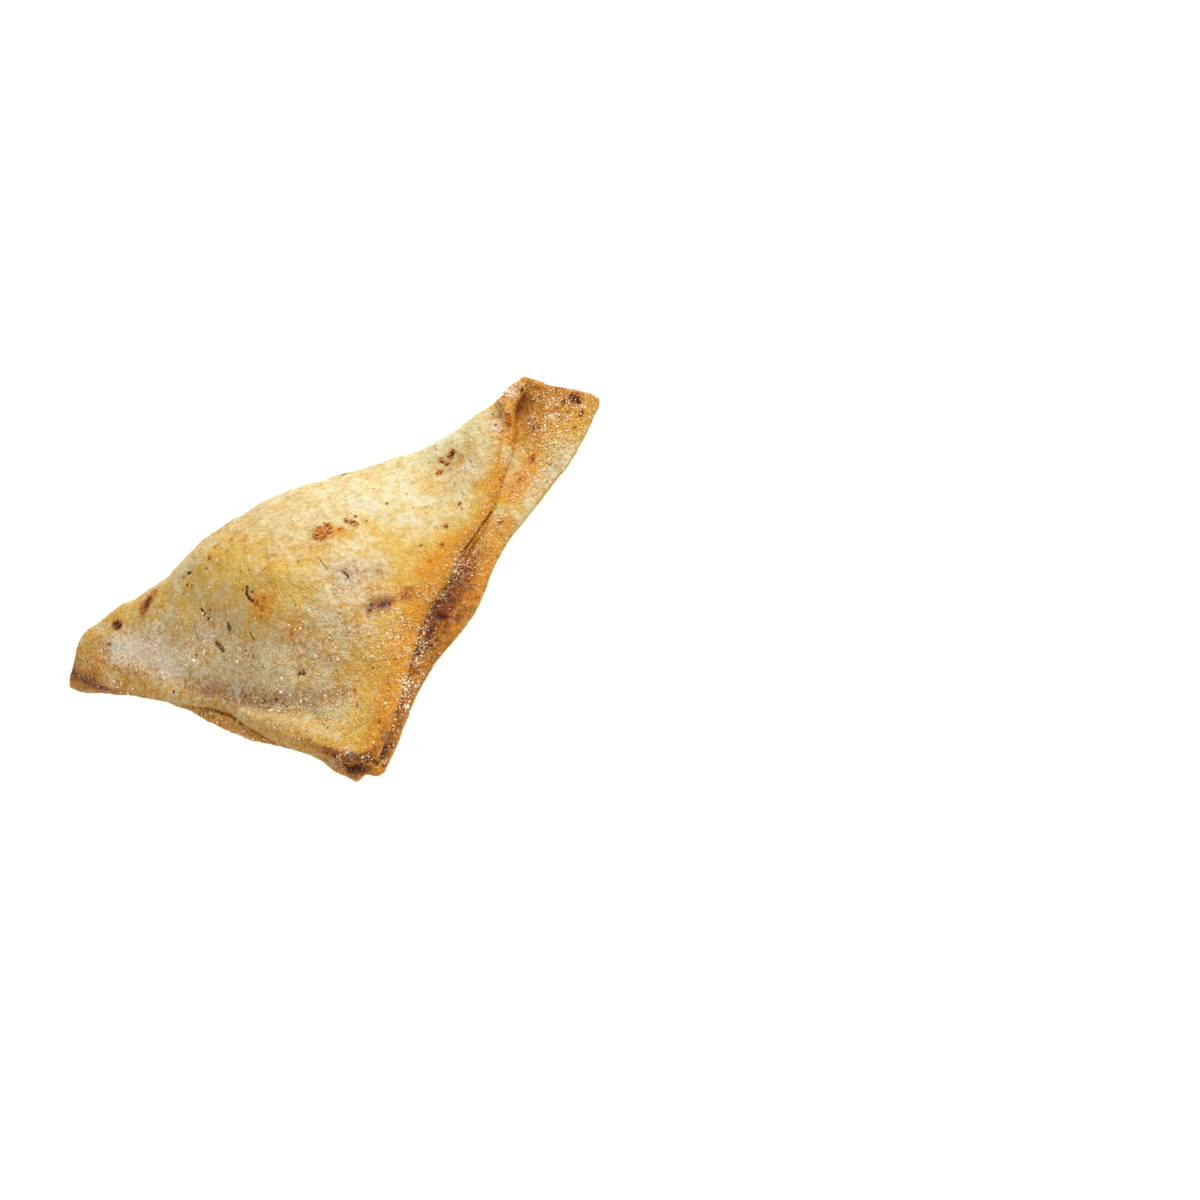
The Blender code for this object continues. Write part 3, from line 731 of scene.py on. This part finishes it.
def make_masks(form, crust):
    """The crust's masks by name, one number for each point."""
    t, inside, beyond, across = form.t, form.inside, form.beyond, form.across
    seen_from_above = form.top | form.lip
    roll = rise(t, *ROLLED)
    band = hump(t, *BROWN_BAND)
    rim = rise(-t, *LEFT_RIM_END)
    wobble = 0.35 * lumps(form.points, 2.0, 21)
    face = (1.0 - smooth((inside - form.face + hump(t, *NARROW_FACE) + wobble) / 0.9 + 0.5)) * form.top
    shoulder = faded(np.maximum(inside - form.face, 0.0), SHOULDER) * form.top

    baked = crust.patches(BAKED)
    top = 0.30 + baked + shoulder * (0.12 + 0.06 * form.right)
    # Painted highlight: the crust is paler within a few millimetres of the fold, for the pale sheen along
    # that edge
    top -= 0.10 * faded(form.from_fold, 3.0) * (1.0 - roll) * (1.0 - rise(-t, *LEFT_TIP))
    top += (by_station(t, FACE_BAKED) - top) * face
    lip = by_station(t, LIP_BAKED) + 0.10 * hump(beyond, 0.0, 1.2) * (1.0 - form.tail)
    lip += band * (0.08 * hump(across, 0.25, 0.25) - 0.10 * rise(across, 0.75, 0.25))
    lip += form.tail * (0.06 * hump(across, 0.35, 0.25) - 0.16 * rise(across, 0.8, 0.2))
    lip += 0.12 * hump(np.abs(t), *DARK_CORNER) * faded(inside, 2.2) + baked * (1.0 - band)
    under = 0.52 - 0.12 * smooth(inside / 6.0)
    toast = np.select((form.top, form.lip, form.layer == UNDER), (top, lip, under), 0.55)
    toast += 0.22 * rim * (form.top * hump(inside, 0.0, 1.2) + form.lip * hump(beyond, 0.0, 0.7))

    outer = rise(across, 0.45, 0.4) * form.lip
    strip = by_station(t, EDGE_ORANGE) * shoulder * (1.0 - face * smooth((0.13 - t) / 0.05))
    strip += roll * face * (0.8 - 0.6 * rise(t, *ROLL_PALES))
    gold = 0.12 + crust.patches(GOLDEN) + 0.5 * strip
    orange = strip + crust.patches(ORANGED) + by_station(t, OUTER_ORANGE) * outer
    # Partly the crust's own duller colour and partly painted shade: the valley, the groove under the right
    # tip's roll and parts of the dome's slopes
    grey_and_shade = crust.patches(GREYED_AND_SHADED) * seen_from_above + 0.30 * valley_shade_of(form)
    grey_and_shade += 0.1 * form.groove + 0.5 * rim * form.lip

    coarse = crust.patches(GRAINY)
    grit = np.where(form.top, 0.45, 0.8) + 0.3 * coarse + 0.2 * shoulder * form.right
    grit += 0.2 * smooth((34.0 - form.a) / 20.0) + 0.2 * coarse * form.tail * form.lip
    grit *= (1.0 - 0.85 * form.groove) * (1.0 - band * (0.40 + 0.35 * outer))
    grit *= 1.0 - 0.75 * rim * form.lip
    grit *= 1.0 - 0.6 * hump(t, *SMOOTH_CORNER) * (form.lip | (inside < 2.0))
    grit *= 1.0 - 0.55 * hump(t, *SMOOTH_FLAP) * form.lip
    crest = hump(t, *CREST) * (form.lip * hump(beyond, 0.0, 0.7) + form.top * hump(inside, 0.0, 0.5))
    grains = coarse + np.where(form.lip, 0.14 - 0.12 * band, 0.03)
    grains += 0.06 * face * form.right * (1.0 - roll) + 0.3 * crest
    grains *= 0.2 + 0.8 * rise(t, *GRAINS_START)
    return {
        "toast": toast + 0.05 * lumps(form.points, 9.0, 11),
        "gold": np.clip(gold, 0.0, 1.0) * (1.0 - rise(toast, 0.60, 0.16)),
        "orange": np.clip(orange, 0.0, 1.0),
        "scorch": crust.strokes(SCORCHES),
        "blister": crust.strokes(BLISTERS),
        "flour": np.clip(crust.patches(FLOURED) * seen_from_above, 0.0, 1.0),
        "grey_and_shade": np.clip(grey_and_shade, 0.0, 1.0),
        "grit": np.clip(grit, 0.0, 1.2),
        "grains": np.clip(grains * (1.0 - form.groove), 0.0, 1.5) * seen_from_above,
    }


def relief(form, masks):
    """How far the crust stands out at each point, in metres."""
    inside, across = form.inside, form.across
    left = (1.0 - rise(form.t, *LEFT_EDGE_STOP)) * rise(form.t, *LEFT_EDGE_START)
    roll = rise(form.t, *ROLL_STANDS)
    fine = 0.10 * lumps(form.points, 2.6, 3) + 0.06 * lumps(form.points, 1.2, 4)
    marks = 0.20 * masks["blister"] - 0.22 * masks["scorch"]
    broad = 0.45 * lumps(form.points, 15.0, 1) + 0.22 * lumps(form.points, 6.0, 2)

    top = fine + marks + broad * smooth(inside / 7.0) - 0.12 * masks["grey_and_shade"]
    top += left * (0.25 * hump(form.a, 2.6, 1.6) - 0.55 * hump(form.a, 6.2, 2.2))
    top -= 0.35 * hump(form.b, 15.0, 4.0) * form.right * (1.0 - form.tail)
    top += roll * (0.45 * hump(inside, 1.6, 1.3) - 0.35 * hump(inside, 4.2, 1.6))
    wide = rise(form.lip_width, 2.0, 3.0)
    groove = 0.75 * form.groove
    lip = 1.3 * fine + marks + 0.18 * lumps(form.points, 4.0, 5) - groove
    lip += wide * (1.0 - form.tail) * (0.7 * np.sin(pi * across ** 0.8) - 0.2 * across)
    lip += 0.75 * form.tail * rise(across, 0.25, 0.45)
    under = -0.25 * np.abs(lumps(form.points, 5.0, 6)) * smooth(inside / 3.0)
    layers = (form.top, form.lip, form.layer == UNDER, form.layer == FLOOR)
    height = np.select(layers, (top, lip, under, -groove), 0.0)
    edge = np.where(form.layer == UNDER, 1.0, 0.3 + 0.7 * smooth(inside / 1.5))
    edge = np.where(form.lip, edge * (0.3 + 0.7 * smooth(form.beyond / 1.5)), edge)
    return MM * height * edge * form.closing


# ---- Materials ----


def srgb(red, green, blue):
    """Linear colour from 0 to 255 screen values."""
    values = (c / 255 for c in (red, green, blue))
    return (*(c / 12.92 if c <= 0.04045 else ((c + 0.055) / 1.055) ** 2.4 for c in values), 1.0)


LIGHT = 1.3  # how much brighter than its own colour the light makes the pastry


def seen(red, green, blue):
    """The colour that looks like those screen values under the scene's light."""
    return (*(c / LIGHT for c in srgb(red, green, blue)[:3]), 1.0)


class Paint:
    """Builds a material from nodes. Its methods return output sockets, and its sizes are in millimetres."""

    def __init__(self, name):
        self.material = bpy.data.materials.new(name)
        self.material.use_nodes = True
        self.tree = self.material.node_tree
        self.place = self.vector("MULTIPLY", self.node("TexCoord").outputs["Object"], (1.0 / MM,) * 3)

    def put(self, socket, value):
        if isinstance(value, bpy.types.NodeSocket):
            self.tree.links.new(value, socket)
        else:
            socket.default_value = value

    def node(self, kind, inputs=None, **settings):
        """A new node with those settings. Its inputs get numbers, colours or other nodes' outputs."""
        made = self.tree.nodes.new("ShaderNode" + kind)
        for name, value in settings.items():
            setattr(made, name, value)
        for name, value in (inputs or {}).items():
            self.put(made.inputs[name], value)
        return made

    def finish(self, inputs):
        """Gives the surface its inputs, and returns the material."""
        for name, value in inputs.items():
            self.put(self.tree.nodes["Principled BSDF"].inputs[name], value)
        return self.material

    def vector(self, operation, one, two):
        return self.node("VectorMath", {0: one, 1: two}, operation=operation).outputs["Vector"]

    def math(self, operation, one, two=0.0):
        return self.node("Math", {0: one, 1: two}, operation=operation).outputs["Value"]

    def times(self, first, *others):
        for value in others:
            first = self.math("MULTIPLY", first, value)
        return first

    def sum(self, first, *others):
        """The first value, plus each of the others times its weight."""
        for value, weight in others:
            first = self.math("ADD", first, self.math("MULTIPLY", value, weight))
        return first

    def attribute(self, name):
        return self.node("Attribute", attribute_name=name).outputs["Fac"]

    def noise(self, size, detail=2.0, roughness=0.55, seed=0.0, twist=0.0):
        return self.node("TexNoise", {
            "Vector": self.vector("ADD", self.place, (seed, 1.7 * seed, 2.3 * seed)),
            "Scale": 1.0 / size, "Detail": detail, "Roughness": roughness, "Distortion": twist,
        }).outputs["Fac"]

    def step(self, value, low, high, to_low=0.0, to_high=1.0):
        return self.node("MapRange", {
            "Value": value, "From Min": low, "From Max": high, "To Min": to_low, "To Max": to_high,
        }, interpolation_type="SMOOTHSTEP").outputs["Result"]

    def vary(self, size, amount, detail=2.0, seed=0.0):
        """Noise about zero that mostly stays within that amount."""
        return self.step(self.noise(size, detail, 0.6, seed), 0.28, 0.72, -amount, amount)

    def fibres(self, size, width, seed):
        """Thin curling lines."""
        level = self.math("ABSOLUTE", self.math("SUBTRACT", self.noise(size, 1.5, 0.5, seed, 0.8), 0.5))
        broken = self.step(self.noise(2.1 * size, 1.0, 0.5, seed + 50.0), 0.42, 0.56)
        return self.times(self.step(level, width, 0.0), broken)

    def specks(self, size, radius, share, seed=0.0):
        """Ragged dots: about that share of cells of that size hold one, of that radius in cells."""
        warp = self.node("TexNoise", {"Vector": self.place, "Scale": 2.6 / size}).outputs["Color"]
        moved = self.vector("ADD", self.place, (seed,) * 3)
        bent = self.vector("ADD", moved, self.vector("MULTIPLY", warp, (0.9 * size,) * 3))
        cells = self.node("TexVoronoi", {"Vector": bent, "Scale": 1.0 / size})
        split = self.node("SeparateColor", {"Color": cells.outputs["Color"]})
        dot = self.step(cells.outputs["Distance"], radius * 1.3, radius * 0.7)
        return self.times(dot, self.math("LESS_THAN", split.outputs["Red"], share))

    def mix(self, factor, one, two, blend="MIX"):
        return self.node(
            "Mix", {"Factor": factor, "A": one, "B": two}, data_type="RGBA", blend_type=blend,
        ).outputs["Result"]

    def ramp(self, value, stops):
        """The colour for a value, from a table of colours."""
        made = self.node("ValToRGB", {"Fac": value})
        elements = made.color_ramp.elements
        while len(elements) < len(stops):
            elements.new(0.5)
        for element, (position, colour) in zip(elements, sorted(stops.items())):
            element.position = position
            element.color = colour
        return made.outputs["Color"]

    def bump(self, height):
        """A normal for a height in millimetres."""
        return self.node("Bump", {"Distance": MM, "Height": height}).outputs["Normal"]


CRUST_COLOURS = {  # by how far it is baked
    0.00: seen(251, 243, 208),
    0.15: seen(247, 231, 176),
    0.30: seen(236, 212, 153),
    0.45: seen(230, 180, 94),
    0.60: seen(212, 138, 50),
    0.72: seen(176, 96, 30),
    0.84: seen(132, 64, 26),
    1.00: seen(72, 34, 24),
}
GOLD = seen(240, 194, 78)
ORANGE = seen(238, 160, 44)
BLISTER_ORANGE = seen(230, 130, 12)
BLISTER_RED = seen(120, 44, 14)
# dull greyish colour of the crust, also mixed in as painted shade
DULL_GREY_AND_SHADE = seen(172, 124, 90)
FLOUR = seen(248, 236, 218)
SINGED = seen(128, 60, 36)
SCORCHED = seen(58, 26, 26)
# painted highlight colour of the fine glints
GLINT = srgb(255, 234, 188)
# painted shade of the fine bumps, multiplied into the colour
WARM_SHADE = (0.50, 0.36, 0.20, 1.0)
DARK_SPECK = seen(100, 60, 34)
RUST_SPECK = seen(200, 110, 32)


def crust_material():
    """Baked dough: cream where it is pale, golden to brown where it is baked, and speckled all over, with
    painted glints and painted shade among the specks.
    """
    paint = Paint("crust")
    toast, gold, orange, scorch, blister, flour, grey_and_shade, grit = map(
        paint.attribute, ("toast", "gold", "orange", "scorch", "blister", "flour", "grey_and_shade", "grit")
    )
    mix, step, times, total = paint.mix, paint.step, paint.times, paint.sum
    specks, vary = paint.specks, paint.vary
    blotchy = vary(5.0, 1.0, 2.0, 31.0)
    patchy = vary(2.0, 1.0, 2.0, 5.0)
    cool = vary(1.3, 1.0, 2.0, 71.0)
    grainy = vary(0.65, 1.0, 2.0, 17.0)
    dusty = vary(0.34, 1.0, 1.0, 29.0)
    fibres = paint.fibres(1.6, 0.035, 3.0)
    dark = specks(1.5, 0.18, 0.07)
    pits = specks(2.9, 0.13, 0.18, 9.0)
    rust = times(specks(1.6, 0.22, 0.12, 23.0), step(blotchy, -0.2, 0.8))

    baked = total(toast, (blotchy, 0.08), (patchy, 0.08), (cool, 0.05))
    colour = paint.ramp(baked, CRUST_COLOURS)
    for mask, breaks, start, full, strength, tint in (
        (gold, ((patchy, 0.22), (blotchy, 0.28)), 0.0, 1.0, 0.8, GOLD),
        (orange, ((patchy, -0.15), (cool, 0.10)), 0.12, 0.85, 0.85, ORANGE),
        # dull greyish colour, partly painted shade
        (grey_and_shade, ((cool, 0.18), (grainy, 0.12)), 0.0, 0.9, 0.75, DULL_GREY_AND_SHADE),
        (flour, ((cool, -0.2), (grainy, 0.2)), 0.05, 0.85, 0.75, FLOUR),
    ):
        share = step(total(mask, *breaks), start, full)
        colour = mix(times(share, strength), colour, tint)

    sparkle = total(times(dusty, 0.6), (grainy, 0.5), (fibres, 0.5))
    clustered = step(total(cool, (patchy, 0.5)), -0.6, 0.8, 0.5, 1.5)
    # Painted highlights: pale glints, partly pale specks of the crust, in clusters
    painted_glints_and_specks = times(step(sparkle, 0.3, 0.95), grit, clustered, 0.6)
    colour = mix(painted_glints_and_specks, colour, GLINT)
    # Painted shade: the low parts of the fine speckle are made darker and warmer, as the bumps' shadows
    painted_bump_shade = times(step(sparkle, 0.0, -0.9), grit, 0.7)
    colour = mix(painted_bump_shade, colour, WARM_SHADE, "MULTIPLY")
    colour = mix(times(rust, 0.5), colour, RUST_SPECK)
    uneven = total(times(grainy, 0.4), (dusty, 0.4))
    reddened = step(times(blister, total(1.0, (uneven, 1.1))), 0.2, 0.7)
    red = mix(step(total(grainy, (dusty, 1.0)), -0.2, 0.7), BLISTER_ORANGE, BLISTER_RED)
    colour = mix(times(reddened, 0.9), colour, red)
    colour = mix(times(paint.math("MAXIMUM", dark, pits), 0.65), colour, DARK_SPECK)
    charred = times(scorch, total(1.0, (uneven, 0.8)))
    colour = mix(times(step(charred, 0.2, 0.7), 0.75), colour, SINGED)
    colour = mix(times(step(charred, 0.5, 1.1), 0.9), colour, SCORCHED)

    height = total(
        vary(1.8, 0.12, 3.0, 61.0), (dark, -0.06),
        (times(grainy, grit), 0.10), (times(dusty, grit), 0.06), (times(fibres, grit), 0.05),
    )
    return paint.finish({
        "Base Color": colour,
        "Roughness": step(total(baked, (grainy, 0.15)), 0.3, 0.8, 0.62, 0.36),
        "Normal": paint.bump(height),
        "Specular IOR Level": 0.06,
        "Subsurface Weight": 0.1,
        "Subsurface Radius": (1.0, 0.55, 0.25),
        "Subsurface Scale": 0.8 * MM,
    })


GRAIN_COLOURS = {
    0.0: srgb(214, 140, 60),
    0.35: srgb(246, 202, 130),
    0.7: srgb(255, 236, 200),
    1.0: srgb(255, 252, 240),
}


def grain_material():
    """Coarse pale grains, some of them browned."""
    paint = Paint("grains")
    return paint.finish({
        "Base Color": paint.ramp(paint.attribute("tone"), GRAIN_COLOURS),
        "Normal": paint.bump(paint.vary(0.2, 0.03, 1.0)),
        "Roughness": 0.3,
    })


FLOOR_GREYS = {0.3: (0.27, 0.27, 0.27, 1.0), 0.7: (0.29, 0.29, 0.29, 1.0)}
FLOOR_GLOW = 0.88  # the floor glows with its own light, which keeps shadows on it faint and also lights the pastry from below


def floor_material():
    """Plain matt dark grey floor that glows white."""
    paint = Paint("white_floor")
    return paint.finish({
        "Base Color": paint.ramp(paint.noise(60.0), FLOOR_GREYS),
        "Roughness": 0.9,
        "Specular IOR Level": 0.1,
        "Emission Color": (1.0, 1.0, 1.0, 1.0),
        "Emission Strength": FLOOR_GLOW,
    })


# ---- Pieces ----

SHARP = radians(70)  # edges that turn by more than this stay sharp


def add_object(name, points, faces, material):
    """A smooth mesh object."""
    mesh = bpy.data.meshes.new(name)
    mesh.from_pydata(points, [], faces)
    mesh.update()
    mesh.materials.append(material)
    mesh.shade_smooth()
    mesh.set_sharp_from_angle(angle=SHARP)
    made = bpy.data.objects.new(name, mesh)
    bpy.context.scene.collection.objects.link(made)
    return made


def add_layer(made, name, values):
    """A number for each point of an object, for its material to read."""
    layer = made.data.attributes.new(name, "FLOAT", "POINT")
    layer.data.foreach_set("value", np.asarray(values, np.float32).reshape(-1))


def ring_faces(rows, count):
    """Quads between rings of that many points, as an array of point numbers."""
    first = np.arange(rows - 1)[:, None] * count
    i = np.arange(count)[None, :]
    j = (i + 1) % count
    quads = np.stack((first + j, first + count + j, first + count + i, first + i), axis=-1)
    return quads.reshape(-1, 4)


TOP_ROOM = 0.4 * MM  # how far lumps may rise over the solid's highest point
SIDE_ROOM = 0.02  # how far edges may reach past the solid, as a share of its length and width


def make_dough(form, masks):
    """The pastry itself."""
    low, high = (np.array(corner) for corner in cad_box)
    spare = SIDE_ROOM * (high - low) * (1.0, 1.0, 0.0)
    raised = form.points + form.normals * relief(form, masks)[..., None]
    form.points = np.clip(raised, low - spare, high + spare + (0.0, 0.0, TOP_ROOM))
    rows, count = form.points.shape[:2]
    faces = ring_faces(rows, count).tolist()
    last = (rows - 1) * count
    faces.append(list(range(count)))
    faces.append([last + i for i in reversed(range(count))])
    made = add_object("dough", form.points.reshape(-1, 3), faces, crust_material())
    for name, values in masks.items():
        add_layer(made, name, values)
    return made


GRAINS = 7000
GRAIN_SIZE = 0.1 * MM  # usual half-width
GRAIN_SEED = 5  # of the random draw
GRAIN_STRAY = 0.3 * MM  # how far a grain may lie from its point of the form
CLUMPS = (1.6, 31)  # size in millimetres of the clumps that they lie in, and the seed of that unevenness
ICO = (1.0 + sqrt(5.0)) / 2.0  # the golden ratio, which gives a 20-sided grain its corners


def make_grains(form, masks):
    """Coarse grains baked on the crust, thickest where their mask says."""
    draw = np.random.default_rng(GRAIN_SEED)
    clumps = np.exp(1.6 * lumps(form.points, *CLUMPS))
    weight = (form.area() * masks["grains"] ** 1.4 * clumps).reshape(-1)
    chosen = draw.choice(weight.size, GRAINS, p=weight / weight.sum())
    outward = form.normals.reshape(-1, 3)[chosen]
    jitter = draw.uniform(-GRAIN_STRAY, GRAIN_STRAY, size=(GRAINS, 3))
    jitter -= outward * np.sum(jitter * outward, axis=1, keepdims=True)
    size = GRAIN_SIZE * draw.lognormal(0.0, 0.45, size=(GRAINS, 1))
    centres = form.points.reshape(-1, 3)[chosen] + jitter + 0.1 * size * outward
    corners = np.array([
        (-1, ICO, 0), (1, ICO, 0), (-1, -ICO, 0), (1, -ICO, 0), (0, -1, ICO), (0, 1, ICO),
        (0, -1, -ICO), (0, 1, -ICO), (ICO, 0, -1), (ICO, 0, 1), (-ICO, 0, -1), (-ICO, 0, 1),
    ]) / sqrt(1.0 + ICO**2)
    sides = np.array([
        (0, 11, 5), (0, 5, 1), (0, 1, 7), (0, 7, 10), (0, 10, 11), (1, 5, 9), (5, 11, 4), (11, 10, 2),
        (10, 7, 6), (7, 1, 8), (3, 9, 4), (3, 4, 2), (3, 2, 6), (3, 6, 8), (3, 8, 9), (4, 9, 5), (2, 4, 11),
        (6, 2, 10), (8, 6, 7), (9, 8, 1),
    ])
    axes = np.linalg.qr(draw.normal(size=(GRAINS, 3, 3)))[0]
    stretch = draw.uniform(0.55, 1.5, size=(GRAINS, 1, 3))
    shapes = (corners[None] * draw.uniform(0.75, 1.2, size=(GRAINS, 12, 1)) * stretch) @ axes
    points = (shapes * size[:, None] + centres[:, None]).reshape(-1, 3)
    faces = (sides[None] + 12 * np.arange(GRAINS)[:, None, None]).reshape(-1, 3)
    made = add_object("grains", points, faces.tolist(), grain_material())
    add_layer(made, "tone", np.repeat(draw.beta(2.0, 1.6, size=GRAINS), 12))
    return made


# ---- Floor, light and camera ----

FLOOR_HALF = 2.5
KEY_WAY = (0.62, 0.42, 0.66)  # from the pastry towards the soft light
KEY_DISTANCE = 1.0
KEY_SIZE = 0.4
KEY_POWER = 6.0 * LIGHT
KEY_COLOUR = (1.0, 0.97, 0.91)
SKY_COLOUR = (1.0, 0.995, 0.98, 1.0)
SKY_STRENGTH = 0.55 * LIGHT


def make_floor():
    half = FLOOR_HALF
    corners = [(-half, -half, 0.0), (half, -half, 0.0), (half, half, 0.0), (-half, half, 0.0)]
    return add_object("floor", corners, [(0, 1, 2, 3)], floor_material())


def make_light():
    """One soft light from the side, and an even sky."""
    scene = bpy.context.scene
    scene.view_settings.view_transform = "Standard"
    scene.view_settings.look = "None"
    scene.world = bpy.data.worlds.new("studio")
    scene.world.use_nodes = True
    sky = scene.world.node_tree.nodes["Background"]
    sky.inputs["Color"].default_value = SKY_COLOUR
    sky.inputs["Strength"].default_value = SKY_STRENGTH
    data = bpy.data.lights.new("key", "AREA")
    data.size = KEY_SIZE
    data.energy = KEY_POWER
    data.color = KEY_COLOUR
    key = bpy.data.objects.new("key", data)
    way = Vector(KEY_WAY).normalized()
    key.location = way * KEY_DISTANCE
    key.rotation_euler = (-way).to_track_quat("-Z", "Y").to_euler()
    scene.collection.objects.link(key)


def make_camera():
    data = bpy.data.cameras.new("camera")
    data.sensor_width = SENSOR
    data.lens = LENS
    data.clip_start = 0.05
    data.clip_end = 20.0
    camera = bpy.data.objects.new("camera", data)
    camera.matrix_world = camera_matrix()
    bpy.context.scene.collection.objects.link(camera)
    bpy.context.scene.camera = camera


make_camera()
form = Form()
masks = make_masks(form, Crust(form))
dough = make_dough(form, masks)
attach(dough, "root")
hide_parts("turnover")
grains = make_grains(form, masks)
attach(grains, "root")
make_floor()
make_light()
